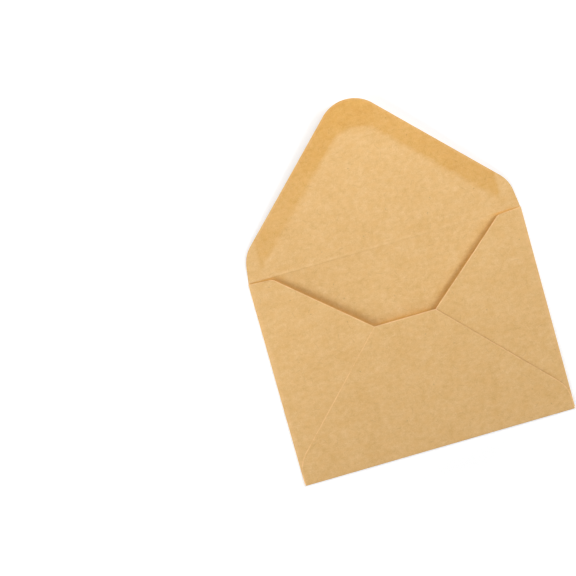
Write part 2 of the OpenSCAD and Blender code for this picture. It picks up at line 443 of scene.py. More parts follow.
# The strip runs past the flap on all sides before it is trimmed.
RUN, WIDE, SPIN_STEPS = 110, 24, 32

middle = spin_centre + run_left * RUN / 2 + off_left * (GUM_INNER_R + WIDE / 2)
bpy.ops.object.select_all(action="DESELECT")
bpy.ops.mesh.primitive_plane_add(
    size=1, location=(*middle, 0), rotation=(0, 0, FLAP_SLOPE)
)
gum = bpy.context.object
gum.name = gum.data.name = "flap_gum_band"
gum.scale = (RUN, WIDE, 1)
bpy.ops.object.transform_apply(location=True, rotation=True, scale=True)

edit(gum)
pick(gum, "EDGE", lambda m: abs((m.xy - spin_centre).dot(run_left)) < NEAR)
bpy.ops.mesh.spin(
    steps=SPIN_STEPS, angle=2 * FLAP_SLOPE, center=(*spin_centre, 0), axis=(0, 0, 1)
)
bpy.ops.mesh.extrude_region_move(
    TRANSFORM_OT_translate={"value": (-run_left.x * RUN, run_left.y * RUN, 0)}
)
close()
print("gum band before trimming:", len(gum.data.polygons), "faces")

# %% Trim the gum and rule it like the flap
GUM_RIM = 0.9

edit(gum)
die_cut(gum, TOP_CORNERS, TOP, lambda m: True, margin=GUM_EDGE)
for sign in (-1, 1):
    bpy.ops.mesh.select_all(action="SELECT")
    cut((sign * GUM_END_X, 0), (sign, 0), trim=True)
bpy.ops.mesh.select_all(action="SELECT")
bpy.ops.mesh.inset(thickness=GUM_RIM, use_boundary=True, use_even_offset=True)
gum_columns = spaced(-GUM_END_X, GUM_END_X, GRID)
rule(gum, xs=gum_columns, ys=flap_rows)
clean_up()
print("gum band:", len(gum.data.polygons), "faces")

# %% [markdown]
# ## What the flat sheet remembers
# Before anything is folded, each point keeps its place on the flat sheet as a UV map.
# The paper's pattern reads it, so fibres stop at a cut edge and run on round a fold.
# Four numbers are kept too: how far into the gum a point lies, how far in under the
# folded flaps, which sets a painted shade, where an edge is drawn paler, partly for
# fibres that the blade broke and partly as a painted highlight, and where the gum thins
# towards its edge.
# The water of wet gum soaks further than the film reaches, so its colour ends along a
# line of its own.

# %% Keep flat places and gum depth
FLAT_MAP = "flat_sheet"


def keep_flat_places(piece):
    """UV map of the places on the flat sheet, in metres."""
    mesh = piece.data
    flat = mesh.uv_layers.get(FLAT_MAP) or mesh.uv_layers.new(name=FLAT_MAP)
    for loop in mesh.loops:
        place = mesh.vertices[loop.vertex_index].co
        flat.data[loop.index].uv = (place.x / 1000, place.y / 1000)
    for other in [layer for layer in mesh.uv_layers if layer.name != FLAT_MAP]:
        mesh.uv_layers.remove(other)
    return [v.co.copy() for v in mesh.vertices]


def keep_number(piece, name, values):
    """Keep one number for each point of a piece, as an attribute that a material reads."""
    layer = piece.data.attributes.new(name, "FLOAT", "POINT")
    layer.data.foreach_set("value", values)


# The soaked band is wider and longer than the film, and its ends are crisper.
SOAKED_W = 10.8
SOAKED_INNER_R = 18
SOAKED_END_X = GUM_END_X + 0.7
END_CRISPER = 1.6
soaked_drop = (SOAKED_W + SOAKED_INNER_R) / math.cos(FLAP_SLOPE)
soaked_centre = Vector((0, PANEL_TOP + flap_point.y - soaked_drop))


def gum_depth(place):
    """Millimetres from the inner side or the end of the soaked band, whichever is less."""
    at = place.xy - soaked_centre
    at.x = -abs(at.x)
    in_turn = abs(math.atan2(at.x, at.y)) < FLAP_SLOPE
    inner = (at.length if in_turn else at.dot(off_left)) - SOAKED_INNER_R
    return min(inner, (SOAKED_END_X - abs(place.x)) * END_CRISPER)


sheet_places = keep_flat_places(sheet)
gum_places = keep_flat_places(gum)
for piece, places in ((sheet, sheet_places), (gum, gum_places)):
    depths = [gum_depth(p) for p in places]
    keep_number(piece, "gum_depth", depths)
    print(f"{piece.name}: {len(places)} points, up to {max(depths):.1f} mm into the soaked band")

# %% Keep how far the flaps cover the panel
# A distance out in the open that the painted shade doesn't reach, and how much faster
# the painted shade deepens at the bottom flap's edge.
OPEN_AIR = -50
STEEPER_BELOW = 2
mouth_shoulder = Vector((PANEL_X - side_shoulder.x, PANEL_BOTTOM + side_shoulder.y))
mouth_corner = Vector((PANEL_X - seam_head.x, PANEL_BOTTOM + seam_head.y))
mouth_edge = (mouth_shoulder - mouth_corner).normalized()


def cover(place):
    """Millimetres from the mouth's edge in under the flaps, less than 0 out in the open."""
    if abs(place.x) > PANEL_X or not PANEL_BOTTOM < place.y < PANEL_TOP:
        return OPEN_AIR
    at = Vector((abs(place.x), place.y)) - mouth_corner
    under_side_flap = at.x * mouth_edge.y - at.y * mouth_edge.x
    under_bottom_flap = -at.y
    return max(under_side_flap, STEEPER_BELOW * under_bottom_flap)


keep_number(sheet, "cover", [cover(p) for p in sheet_places])
print(f"mouth: {2 * mouth_shoulder.x:.0f} mm wide above, {2 * mouth_corner.x:.0f} mm below")

# %% Keep pale edges and the gum's thin edge
def outline_of(piece):
    """Points on the open outline of a flat piece."""
    faces_at = {}
    for face in piece.data.polygons:
        for key in face.edge_keys:
            faces_at[key] = faces_at.get(key, 0) + 1
    return {v for key, count in faces_at.items() if count == 1 for v in key}


# Paleness of a seam's rim at its foot and near its head, where the mouth's rim takes
# over, and paleness of a side fold.
SEAM_RIM_FOOT, SEAM_RIM_HEAD = 1, 0.4
SEAM_ENDS = 0.99
FOLD_RIM = 0.22
FILM_THINS = 1
PAST = 0.1


def paleness(place, at_cut):
    """How pale an edge is drawn, partly fibres that the blade broke and partly a painted
    highlight: most at the mouth, less at the seams and side folds.
    """
    if place.y > PANEL_TOP:
        return 0
    if at_cut:
        up_seam = (PANEL_BOTTOM - BOTTOM_FOLD - place.y) / seam_end.y
        if not 0 < up_seam < SEAM_ENDS:
            return 1
        return SEAM_RIM_FOOT + (SEAM_RIM_HEAD - SEAM_RIM_FOOT) * up_seam
    return FOLD_RIM if PAST < abs(place.x) - PANEL_X < SIDE_FOLD + PAST else 0


def film_thins(place):
    """Whether the film is thin: along the flap's edge, and not at the square-cut ends."""
    return gum_depth(place) > FILM_THINS and abs(place.x) < GUM_END_X - PAST


cut_edge, film_edge = outline_of(sheet), outline_of(gum)
pale = [float(paleness(p, i in cut_edge)) for i, p in enumerate(sheet_places)]
thin = [float(i in film_edge and film_thins(p)) for i, p in enumerate(gum_places)]
bare = [float(i in cut_edge and p.y > PANEL_TOP) for i, p in enumerate(sheet_places)]
keep_number(sheet, "pale_rim", pale)
keep_number(sheet, "thin_gum", bare)
keep_number(gum, "thin_gum", thin)
print(f"{len(cut_edge)} points lie on the cut edge, and {len(pale) - pale.count(0)} are pale")

# %% [markdown]
# ## Folding
# The outermost strip is turned first, and then the next one in, so the line that a
# turn goes round always still lies flat. Points are chosen by their flat places.
# A turn done by an operator without a window goes the other way round, so the angle's
# sign is turned here once.

# %% Turn what lies beyond a line
def turn(piece, places, beyond, hinge, axis, degrees):
    """Turn the points whose flat place passes the test about a line through hinge."""
    bpy.ops.mesh.select_mode(type="VERT")
    bpy.ops.mesh.select_all(action="DESELECT")
    mesh = bmesh.from_edit_mesh(piece.data)
    for vertex, place in zip(mesh.verts, places):
        vertex.select_set(beyond(place))
    mesh.select_flush_mode()
    bmesh.update_edit_mesh(piece.data)
    bpy.ops.transform.rotate(
        value=-math.radians(degrees),
        orient_axis=axis,
        orient_type="GLOBAL",
        center_override=hinge,
    )


def fold(piece, places, out, line, radius, axis, sign):
    """Fold what lies beyond a line, measured along out, half a turn up and over."""
    for k in range(FOLD_STEPS, -1, -1):
        start = line + k * strip_width(radius)
        degrees = FOLD_TURN if 0 < k < FOLD_STEPS else FOLD_TURN / 2
        turn(
            piece,
            places,
            lambda place: place.xy.dot(out) > start + NEAR,
            (*(out * start), PAPER_T / 2),
            axis,
            sign * degrees,
        )


# %% Fold the side flaps, then the bottom flap
for piece, level in ((sheet, PAPER_T / 2), (gum, PAPER_T + GUM_T / 2)):
    edit(piece)
    bpy.ops.transform.translate(value=(0, 0, level))
    close()

edit(sheet)
fold(sheet, sheet_places, Vector((-1, 0)), PANEL_X, SIDE_FOLD_R, "Y", 1)
fold(sheet, sheet_places, Vector((1, 0)), PANEL_X, SIDE_FOLD_R, "Y", -1)
fold(sheet, sheet_places, Vector((0, -1)), -PANEL_BOTTOM, BOTTOM_FOLD_R, "X", -1)
close()
print("folded:", [round(d, 2) for d in sheet.dimensions])

# %% [markdown]
# ## The bow of the empty pocket
# Folded paper springs back, so the back of an empty pocket bows up, most in the middle
# of its mouth: steep at the side folds, and flatter in between. All layers of the back
# bow together, and they must not pass through each other, so one lattice moves them
# all. A vertex group keeps the address panel flat. The lattice is larger than the
# pocket, so its ends don't flatten the bow.

# %% Bow the back with a lattice
LATTICE_X, LATTICE_Y = 180, 150
LATTICE_COLUMNS, LATTICE_ROWS = 25, 21

# Each wave's share of the bow, its lengths across and up, and where it starts.
WAVES = ((0.025, 11, 29, 1), (0.02, -23, 9, 0))


def bow(x, y):
    """Height by which the back bows up at a place of the pocket."""
    rise = math.sin(math.pi / 2 * (y - PANEL_BOTTOM) / PANEL_H)
    return POCKET_BOW * (1 - abs(x / PANEL_X) ** BOW_POWER) * rise


def waves(x, y):
    """Slow unevenness of handled paper, as a share of the bow."""
    return sum(high * math.sin(x / a + y / b + start) for high, a, b, start in WAVES)


def lattice_over(name, rise):
    """A flat lattice over the pocket, with each of its points lifted by rise(x, y)."""
    bpy.ops.object.select_all(action="DESELECT")
    bpy.ops.object.add(type="LATTICE")
    cage = bpy.context.object
    cage.name = name
    cage.scale = (LATTICE_X, LATTICE_Y, 1)
    cage.data.points_u, cage.data.points_v = LATTICE_COLUMNS, LATTICE_ROWS
    cage.data.points_w = 1
    for point in cage.data.points:
        point.co_deform.z += rise(point.co.x * LATTICE_X, point.co.y * LATTICE_Y)
    return cage


def is_back(place):
    """Whether a flat place is beyond a side fold or the bottom fold."""
    beyond_side_fold = abs(place.x) - PANEL_X - SIDE_FOLD
    beyond_bottom_fold = PANEL_BOTTOM - BOTTOM_FOLD - place.y
    return max(beyond_side_fold, beyond_bottom_fold) > NEAR


back = sheet.vertex_groups.new(name="back_of_pocket")
back.add([i for i, p in enumerate(sheet_places) if is_back(p)], 1, "REPLACE")
cage = lattice_over("pocket_bow_lattice", lambda x, y: bow(x, y) * (1 + waves(x, y)))
choose(sheet)
bowing = sheet.modifiers.new("pocket_bow", "LATTICE")
bowing.object = cage
bowing.vertex_group = back.name
bpy.ops.object.modifier_apply(modifier=bowing.name)
bpy.data.objects.remove(cage)
print(f"the back now stands {sheet.dimensions.z:.2f} mm high")

# %% [markdown]
# ## The free margins of the seams
# The glue runs a few millimetres inside the bottom flap's slanting edges, so a narrow
# margin outside it is free. On the right it curls up a hair and throws a thin shadow.
# On the left it lies pressed down on the side flap. A vertex group that grows towards
# the edge, and a displacement through it, move only the margin.

# %% Curl one margin up and press the other down
# Each margin's side of the flap, its width, and the rise of its edge.
MARGINS = {"right": (1, 3.2, 0.19), "left": (-1, 1.2, -0.03)}
MARGIN_BEGINS = 12


def seam_depth(place, side):
    """Millimetres from a point of the bottom flap to its left or right slanting edge."""
    point = Vector((side * place.x, PANEL_BOTTOM - BOTTOM_FOLD - place.y))
    along = (seam_end - seam_start).normalized()
    return (point - seam_start).dot(Vector((-along.y, along.x)))


for name, (side, width, rise) in MARGINS.items():
    margin = sheet.vertex_groups.new(name=f"{name}_seam_margin")
    for i, place in enumerate(sheet_places):
        out_from_fold = PANEL_BOTTOM - BOTTOM_FOLD - place.y
        if out_from_fold > 0:
            share = max(0, 1 - seam_depth(place, side) / width) ** 2
            margin.add([i], share * min(1, out_from_fold / MARGIN_BEGINS), "REPLACE")
    choose(sheet)
    shift = sheet.modifiers.new(margin.name, "DISPLACE")
    shift.vertex_group = margin.name
    shift.direction = "Z"
    shift.mid_level = 0
    shift.strength = rise
    bpy.ops.object.modifier_apply(modifier=shift.name)
print("margins:", ", ".join(f"{name} {m[2]:+.2f} mm" for name, m in MARGINS.items()))

# %% [markdown]
# ## Crease and curl of the top flap
# The flap was folded shut once and is open again, so it lifts from its crease by a few
# degrees and curls back a little on its way to the tip. The crease itself is a pressed
# line: a shallow valley between two low ridges.

# %% Lift and curl the top flap
CURL_ROWS = 12
# Shares of the lift and heights of the ridges, by the distance above the crease.
LIFT_SHARES = {0.2: 0.25, 0: 0.5, -0.2: 0.25}
CREASE_PRESS = {-0.5: 0.04, -0.2: 0.015, 0.2: 0.02, 0.5: 0.05}

for piece, places in ((sheet, sheet_places), (gum, gum_places)):
    edit(piece)
    for k in range(CURL_ROWS, 0, -1):
        row = PANEL_TOP + FLAP_H * k / (CURL_ROWS + 1)
        turn(
            piece,
            places,
            lambda place: place.y > row,
            (0, row, PAPER_T / 2),
            "X",
            -FLAP_CURL / CURL_ROWS,
        )
    for row, share in LIFT_SHARES.items():
        turn(
            piece,
            places,
            lambda place: place.y > PANEL_TOP + row + NEAR,
            (0, PANEL_TOP + row, PAPER_T / 2),
            "X",
            FLAP_LIFT * share,
        )
    close()

edit(sheet)
for row, press in CREASE_PRESS.items():
    mesh = bmesh.from_edit_mesh(sheet.data)
    bpy.ops.mesh.select_all(action="DESELECT")
    for vertex, place in zip(mesh.verts, sheet_places):
        vertex.select_set(abs(place.y - PANEL_TOP - row) < NEAR)
    bmesh.update_edit_mesh(sheet.data)
    bpy.ops.transform.translate(value=(0, 0, press))
close()
print(f"flap tip {max(v.co.z for v in sheet.data.vertices):.2f} mm above the table")

# %% [markdown]
# ## Thickness
# Solidify turns the middle surface into paper of the right thickness, and gives its
# narrow side a second material, since a cut edge shows the paper's paler inside. It
# comes last, once both pieces have their materials.

# %% Give a piece its thickness, in metres
SMOOTH_UNDER = math.radians(35)


def thicken(piece, thickness, rim=0):
    """Give a surface its thickness, make it metres, and measure the closed piece."""
    choose(piece)
    wall = piece.modifiers.new("thickness", "SOLIDIFY")
    wall.thickness = thickness
    wall.offset = 0
    wall.material_offset_rim = rim
    bpy.ops.object.modifier_apply(modifier=wall.name)
    edit(piece)
    bpy.ops.transform.resize(value=(0.001, 0.001, 0.001), center_override=(0, 0, 0))
    close()
    bpy.ops.object.shade_smooth_by_angle(angle=SMOOTH_UNDER)
    shell = bmesh.new()
    shell.from_mesh(piece.data)
    volume = shell.calc_volume(signed=True) * 1e9
    loose = sum(not edge.is_manifold for edge in shell.edges)
    shell.free()
    print(f"{piece.name}: {len(piece.data.polygons)} faces, {volume:.0f} mm3, {loose} open edges")


# %% [markdown]
# ## Adding nodes
# One helper adds a node, sets it up and links it, so that each pattern below reads as
# a short list. Colours are written as they look on a screen, and one function turns
# them into the linear light that the renderer works in.

# %% Node and colour helpers
def linear(hex_code):
    """Linear RGBA of an sRGB colour such as #E3B982."""
    levels = [int(hex_code[i : i + 2], 16) / 255 for i in (1, 3, 5)]
    return (
        *(v / 12.92 if v <= 0.04045 else ((v + 0.055) / 1.055) ** 2.4 for v in levels),
        1,
    )


def add(tree, kind, inputs=None, **settings):
    """Add a node. Each input is a value, or another node's output to link."""
    made = tree.nodes.new(f"ShaderNode{kind}")
    for name, value in settings.items():
        setattr(made, name, value)
    for socket, value in (inputs or {}).items():
        if isinstance(value, bpy.types.NodeSocket):
            tree.links.new(value, made.inputs[socket])
        else:
            made.inputs[socket].default_value = value
    return made


def new_material(name):
    """A material with an empty node tree but for its output."""
    material = bpy.data.materials.new(name)
    material.use_nodes = True
    tree = material.node_tree
    tree.nodes.clear()
    return material, tree, tree.nodes.new("ShaderNodeOutputMaterial")


def math_node(tree, operation, a, b=0.0, clamp=False):
    """Result of an operation on two numbers, kept within 0 and 1 if clamped."""
    return add(tree, "Math", {0: a, 1: b}, operation=operation, use_clamp=clamp).outputs[0]


def blend(tree, share, a, b, how="MIX"):
    """Mix two colours, or colour over colour in another way, by a share from 0 to 1."""
    mix = add(tree, "Mix", {0: share, 6: a, 7: b}, data_type="RGBA", blend_type=how)
    return mix.outputs[2]


# %% [markdown]
# ## Kraft paper
# Brown kraft paper is pressed from long, unbleached wood fibres and is left uncoated.
# Up close it is not one brown: the pulp lies in soft clouds of 2 to 10 mm, a fine
# grain covers them, single fibres of 1 to 4 mm show darker or paler, and here and
# there lies a speck of bark. Each is a pattern of its own, with its size in
# millimetres. A fibre is really 0.03 mm wide, which is too fine to show, so fibres
# are drawn about ten times as wide and fainter.

# %% Places and patterns
def flat_place(tree):
    """Place on the flat sheet, in millimetres."""
    kept = add(tree, "UVMap", uv_map=FLAT_MAP).outputs[0]
    return add(tree, "Mapping", {0: kept, "Scale": (1000, 1000, 1000)}).outputs[0]


def noise(tree, paper, size, detail=3.0, roughness=0.55):
    """Soft cloud pattern with features of a size in millimetres."""
    made = add(
        tree,
        "TexNoise",
        {"Vector": paper, "Scale": 1 / size, "Detail": detail, "Roughness": roughness},
        noise_dimensions="2D",
    )
    return made.outputs[0]


# %% One layer of fibres
# How much a stroke bends, and the share of each half over which its end fades.
FIBRE_BEND = 1.2
FIBRE_ENDS_WITHIN = 1 / 3


def fading(tree, distance, reach):
    """A number that is 1 at no distance and falls to 0 at its reach."""
    return math_node(tree, "SUBTRACT", 1.0, math_node(tree, "DIVIDE", distance, reach), clamp=True)


def fibres(tree, paper, cell, length, width, share, shift):
    """Mask of short bent strokes, at most one in each cell, each at its own angle."""
    moved = add(tree, "VectorMath", {0: paper, 1: (shift, 3 * shift, 0)}, operation="ADD")
    cells = add(
        tree,
        "TexVoronoi",
        {"Vector": moved.outputs[0], "Scale": 1 / cell},
        voronoi_dimensions="2D",
    )
    apart = add(
        tree,
        "VectorMath",
        {0: moved.outputs[0], 1: cells.outputs["Position"]},
        operation="SUBTRACT",
    ).outputs[0]
    chance = add(tree, "SeparateColor", {0: cells.outputs["Color"]})
    angle = math_node(tree, "MULTIPLY", chance.outputs[0], 2 * math.pi)
    turned = add(tree, "VectorRotate", {0: apart, "Angle": angle}, rotation_type="Z_AXIS")
    place = add(tree, "SeparateXYZ", {0: turned.outputs[0]})
    along, across = place.outputs[0], place.outputs[1]
    either_way = math_node(tree, "SUBTRACT", chance.outputs[1], 0.5)
    bend = math_node(tree, "MULTIPLY", either_way, FIBRE_BEND / length)
    curve = math_node(tree, "MULTIPLY", math_node(tree, "MULTIPLY", along, along), bend)
    off = math_node(tree, "ABSOLUTE", math_node(tree, "ADD", across, curve))
    reach = math_node(tree, "ABSOLUTE", along)
    inside = fading(tree, off, width / 2)
    ended = fading(tree, reach, length / 2)
    ended = math_node(tree, "DIVIDE", ended, FIBRE_ENDS_WITHIN, clamp=True)
    present = math_node(tree, "LESS_THAN", chance.outputs[2], share)
    return math_node(tree, "MULTIPLY", math_node(tree, "MULTIPLY", inside, ended), present)


# %% Colour and relief of kraft paper
PAPER_DARK = "#D9AB69"
PAPER_LIGHT = "#ECC58D"
PAPER_WARM = "#E6B775"
DARK_FIBRE_AND_SHADE = "#A1713A"
PALE_FIBRE_AND_HIGHLIGHT = "#FBE3B8"
SPECK = "#6E4A26"

# Size of each soft pattern in millimetres, its detail, roughness and share of the tone.
CLOUDS = (9, 2.0, 0.55, 0.22)
PULP = (2.2, 3.0, 0.6, 0.42)
GRAIN = (0.7, 2.0, 0.6, 0.36)
TONE_SPREAD = 2.6
ALONG_GRAIN = (0.7, 1.0, 1.0)
WARM_SIZE, WARM_FROM = 3.5, 0.35

# Cell, length and width in millimetres, share of cells, shift, colour and strength.
FIBRE_LAYERS = (
    (3.2, 1.9, 0.34, 0.55, 11, PALE_FIBRE_AND_HIGHLIGHT, 0.20),
    (2.6, 1.6, 0.32, 0.60, 23, DARK_FIBRE_AND_SHADE, 0.16),
    (7.5, 3.6, 0.38, 0.35, 37, DARK_FIBRE_AND_SHADE, 0.26),
    (15, 0.7, 0.75, 0.25, 51, SPECK, 0.38),
)
FIBRE_HEIGHT = 0.2


def kraft(tree, paper):
    """Colour and height of kraft paper from its place on the flat sheet."""
    long_grain = add(tree, "Mapping", {0: paper, "Scale": ALONG_GRAIN}).outputs[0]
    tone = 0.0
    for place, pattern in ((long_grain, CLOUDS), (long_grain, PULP), (paper, GRAIN)):
        *settings, share = pattern
        part = math_node(tree, "MULTIPLY", noise(tree, place, *settings), share)
        tone = math_node(tree, "ADD", part, tone)
    spread = math_node(tree, "MULTIPLY", math_node(tree, "SUBTRACT", tone, 0.5), TONE_SPREAD)
    light = math_node(tree, "ADD", spread, 0.5, clamp=True)
    colour = blend(tree, light, linear(PAPER_DARK), linear(PAPER_LIGHT))
    warm = noise(tree, long_grain, WARM_SIZE, 2.0)
    warm = math_node(tree, "SUBTRACT", warm, WARM_FROM, clamp=True)
    colour = blend(tree, warm, colour, linear(PAPER_WARM))
    height = tone
    for *stroke, fibre_colour, strength in FIBRE_LAYERS:
        mask = fibres(tree, paper, *stroke)
        shown = math_node(tree, "MULTIPLY", mask, strength)
        colour = blend(tree, shown, colour, linear(fibre_colour))
        raised = math_node(tree, "MULTIPLY", mask, FIBRE_HEIGHT)
        height = math_node(tree, "ADD", height, raised)
    return colour, height


# %% [markdown]
# ## The crease, painted shade and the gum in the paper
# Three things change the paper's colour. The crease of the top flap was pressed with a
# blunt blade: its bottom is drawn a little darker, partly pressed paper and partly
# painted shade, and beside it a pale line is partly fibres that broke and partly a
# painted highlight. These lines fade out towards the right. The panel just below the
# crease gets a soft painted shade. Towards the mouth's edges and in under the flaps the
# paper gets a deeper, warmer painted shade. And the gum soaks in.
# Envelope gum is dextrin or gum arabic, rolled on wet and dried to a thin amber film.
# The fibres still show through it, but the paper looks deeper and yellower. The roller
# left more of it at the tip and less on the right.

# %% Tones of the crease
# Each line's distance above the crease, its half width, strength and colour. The dark
# line is partly painted shade, and the pale one partly a painted highlight.
CREASE_DARK = (-0.2, 0.45, 0.12, DARK_FIBRE_AND_SHADE)
CREASE_PALE = (0.8, 0.9, 0.10, PALE_FIBRE_AND_HIGHLIGHT)
CREASE_FADES_AT, CREASE_FADES_OVER = 70, 100
CREASE_PATCH = 9
SHADE_BELOW = 0.06
SHADE_REACH = 24


def creased(tree, paper, colour):
    """Draw a dark line along the crease, partly pressed paper and partly painted shade, a pale
    line beside it, partly fibres that broke and partly a painted highlight, and a soft painted
    shade below it.
    """
    place = add(tree, "SeparateXYZ", {0: paper})
    from_crease = math_node(tree, "SUBTRACT", place.outputs[1], PANEL_TOP)
    before_end = math_node(tree, "SUBTRACT", CREASE_FADES_AT, place.outputs[0])
    strong = math_node(tree, "DIVIDE", before_end, CREASE_FADES_OVER, clamp=True)
    # Noise is a half on average, so it is doubled.
    come_and_go = math_node(tree, "MULTIPLY", noise(tree, paper, CREASE_PATCH, 2.0), 2.0)
    come_and_go = math_node(tree, "MULTIPLY", come_and_go, strong)
    for middle, half_width, strength, line_colour in (CREASE_DARK, CREASE_PALE):
        off = math_node(tree, "ABSOLUTE", math_node(tree, "SUBTRACT", from_crease, middle))
        line = math_node(tree, "MULTIPLY", fading(tree, off, half_width), come_and_go)
        line = math_node(tree, "MULTIPLY", line, strength)
        colour = blend(tree, line, colour, linear(line_colour))
    # A soft painted shade below the crease.
    below = math_node(tree, "LESS_THAN", from_crease, 0)
    below = math_node(tree, "MULTIPLY", below, strong)
    below = math_node(tree, "MULTIPLY", below, fading(tree, from_crease, -SHADE_REACH))
    shade = math_node(tree, "MULTIPLY", below, SHADE_BELOW)
    return blend(tree, shade, colour, linear(DARK_FIBRE_AND_SHADE))


# %% Painted shade towards the mouth's edges and under the flaps
MOUTH_SHADE_TINT = "#FFF3D3"
MOUTH_SHADE_REACH = 6


def paint_mouth_shade(tree, colour):
    """Paint a deeper, warmer shade on the paper towards the mouth's edges and under the flaps."""
    # Out in the open the distance is less than 0, and so the reach is too.
    in_under = add(tree, "Attribute", attribute_name="cover").outputs["Fac"]
    share = fading(tree, in_under, -MOUTH_SHADE_REACH)
    share = math_node(tree, "MULTIPLY", share, share)
    return blend(tree, share, colour, linear(MOUTH_SHADE_TINT), how="MULTIPLY")


# %% Tint of the gum
GUM_TINT = "#F3E4BA"
GUM_THIN_OVER = 2.5
GUM_WANDERS = 0.45
GUM_PATCH = 6
GUM_AMOUNT, GUM_UNEVEN = 0.58, 0.5
GUM_AT_TIP, GUM_GATHERS_FROM, GUM_GATHERS_OVER = 0.2, PANEL_TOP + 62, 14
GUM_LESS_AT_EDGE = 0.6

# Where across the flap the gum begins to thin, over how far, and by how much.
GUM_THINS = ((-25, -20, 0.28), (0, 73, 0.1))


def gummed(tree, paper, colour):
    """Tint the paper where gum is, and give the share of gum from 0 to 1."""
    depth = add(tree, "Attribute", attribute_name="gum_depth").outputs["Fac"]
    wander = noise(tree, paper, GUM_PATCH)
    ragged = math_node(tree, "MULTIPLY", wander, GUM_WANDERS)
    share = math_node(tree, "ADD", math_node(tree, "DIVIDE", depth, GUM_THIN_OVER), ragged)
    share = math_node(tree, "ADD", share, (1 - GUM_WANDERS) / 2, clamp=True)
    place = add(tree, "SeparateXYZ", {0: paper})
    above = math_node(tree, "SUBTRACT", place.outputs[1], GUM_GATHERS_FROM)
    gathered = math_node(tree, "DIVIDE", above, GUM_GATHERS_OVER, clamp=True)
    uneven = math_node(tree, "MULTIPLY", wander, GUM_UNEVEN)
    much = math_node(tree, "ADD", uneven, GUM_AMOUNT)
    much = math_node(tree, "ADD", much, math_node(tree, "MULTIPLY", gathered, GUM_AT_TIP))
    for begins, over, less in GUM_THINS:
        there = math_node(tree, "SUBTRACT", place.outputs[0], begins)
        there = math_node(tree, "DIVIDE", there, over, clamp=True)
        much = math_node(tree, "SUBTRACT", much, math_node(tree, "MULTIPLY", there, less))
    thin = add(tree, "Attribute", attribute_name="thin_gum").outputs["Fac"]
    less_at_edge = math_node(tree, "MULTIPLY", thin, GUM_LESS_AT_EDGE)
    much = math_node(tree, "SUBTRACT", much, less_at_edge)
    share = math_node(tree, "MULTIPLY", share, much, clamp=True)
    return blend(tree, share, colour, linear(GUM_TINT), how="MULTIPLY"), share


# %% [markdown]
# ## The sheet's two materials
# The pressed rims of the pocket's flaps are drawn a little paler: partly fibres that the
# blade broke, and partly a painted highlight along the edges. The cut edge itself, the
# second material, shows the loose inside of the paper. Uncoated paper is matt: it
# scatters light evenly, and only fine relief shows.

# %% Materials of the sheet
RIM_PALER = 0.95
RIM_PALE_AND_HIGHLIGHT = "#FFD59E"
RIM_PATCH = 5
CUT_PALER = 0.45
PAPER_IOR = 1.45
PAPER_ROUGHNESS = 0.86
RELIEF_H = 0.00004

kraft_paper, tree, out = new_material("uncoated_brown_kraft_paper")
paper = flat_place(tree)
colour, height = kraft(tree, paper)
# The crease's lines are partly painted shade and highlight, with a painted shade below.
colour = creased(tree, paper, colour)
# Painted shade towards the mouth's edges and under the flaps.
colour = paint_mouth_shade(tree, colour)
colour, _ = gummed(tree, paper, colour)
# The pale rim is partly fibres that broke and partly a painted highlight.
rim = add(tree, "Attribute", attribute_name="pale_rim").outputs["Fac"]
rim_pale_and_lit = math_node(tree, "MULTIPLY", noise(tree, paper, RIM_PATCH, 2.0), 2 * RIM_PALER)
rim = math_node(tree, "MULTIPLY", rim, rim_pale_and_lit)
colour = blend(tree, rim, colour, linear(RIM_PALE_AND_HIGHLIGHT))
relief = add(tree, "Bump", {"Height": height, "Strength": 0.25, "Distance": RELIEF_H})
shader = add(
    tree,
    "BsdfPrincipled",
    {
        "Base Color": colour,
        "Normal": relief.outputs[0],
        "Roughness": PAPER_ROUGHNESS,
        "IOR": PAPER_IOR,
        "Specular IOR Level": 0.3,
    },
)
tree.links.new(shader.outputs[0], out.inputs[0])
sheet.data.materials.append(kraft_paper)

cut_kraft, tree, out = new_material("die_cut_edge_of_kraft_paper")
colour, _ = kraft(tree, flat_place(tree))
colour = blend(tree, CUT_PALER, colour, linear(PALE_FIBRE_AND_HIGHLIGHT))
shader = add(
    tree, "BsdfPrincipled", {"Base Color": colour, "Roughness": 0.95, "IOR": PAPER_IOR}
)
tree.links.new(shader.outputs[0], out.inputs[0])
sheet.data.materials.append(cut_kraft)
print("sheet materials:", [m.name for m in sheet.data.materials])

# %% [markdown]
# ## Dried gum
# The film reads the same patterns as the paper under it, so it looks clear. It differs
# by its soft shine, which grows with the share of gum.

# %% Material of the gum
GUM_SMOOTHER = 0.36

dried_gum, tree, out = new_material("rolled_on_dried_dextrin_gum")
paper = flat_place(tree)
colour, height = kraft(tree, paper)
colour, share = gummed(tree, paper, colour)
smoother = math_node(tree, "MULTIPLY", share, GUM_SMOOTHER)
roughness = math_node(tree, "SUBTRACT", PAPER_ROUGHNESS, smoother)
relief = add(tree, "Bump", {"Height": height, "Strength": 0.15, "Distance": RELIEF_H})
shader = add(
    tree,
    "BsdfPrincipled",
    {
        "Base Color": colour,
        "Normal": relief.outputs[0],
        "Roughness": roughness,
        "IOR": 1.47,
        "Specular IOR Level": 0.3,
    },
)
tree.links.new(shader.outputs[0], out.inputs[0])
gum.data.materials.append(dried_gum)
print("gum material:", dried_gum.name)

# %% [markdown]
# ## Seam glue
# The glue lines are hidden between the flaps. They keep their solids, with the finish
# of white wood glue that has dried to a matt cream.

# %% Material of the seam glue
GLUE_STREAK = 1.5

